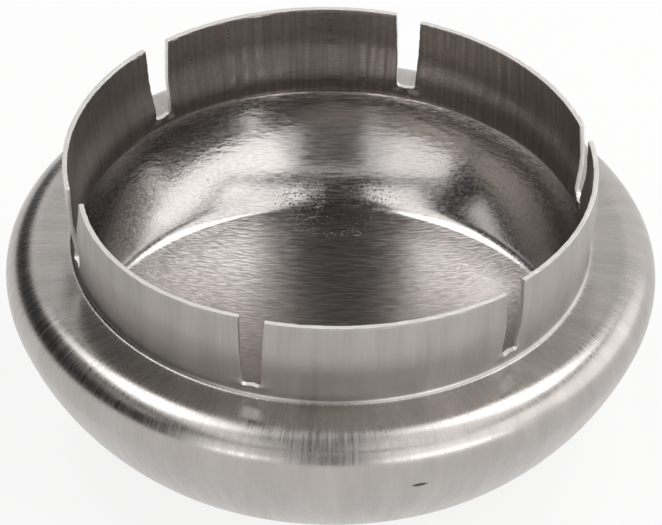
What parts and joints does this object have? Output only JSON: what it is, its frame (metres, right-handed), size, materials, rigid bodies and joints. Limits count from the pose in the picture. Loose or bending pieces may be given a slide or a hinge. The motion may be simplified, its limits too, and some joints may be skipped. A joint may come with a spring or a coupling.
{
  "type": "hubcap",
  "caption": "Push-in hub cap pressed from stainless sheet: a domed face, round shoulder and flat ledge, with an upright skirt slit into spring tabs.",
  "frame": {"origin": "the lowest point of the domed face, on the cap's axis, where it touches the table", "axes": "+Z is the cap's axis, up towards the open skirt; +X is to the right in the picture and +Y away from the camera"},
  "size_m": [0.079, 0.079, 0.0372],
  "materials": {
    "stainless_sheet": "brushed"
  },
  "bodies": {
    "root": {"hub_cap": "stainless_sheet"}
  },
  "joints": []
}
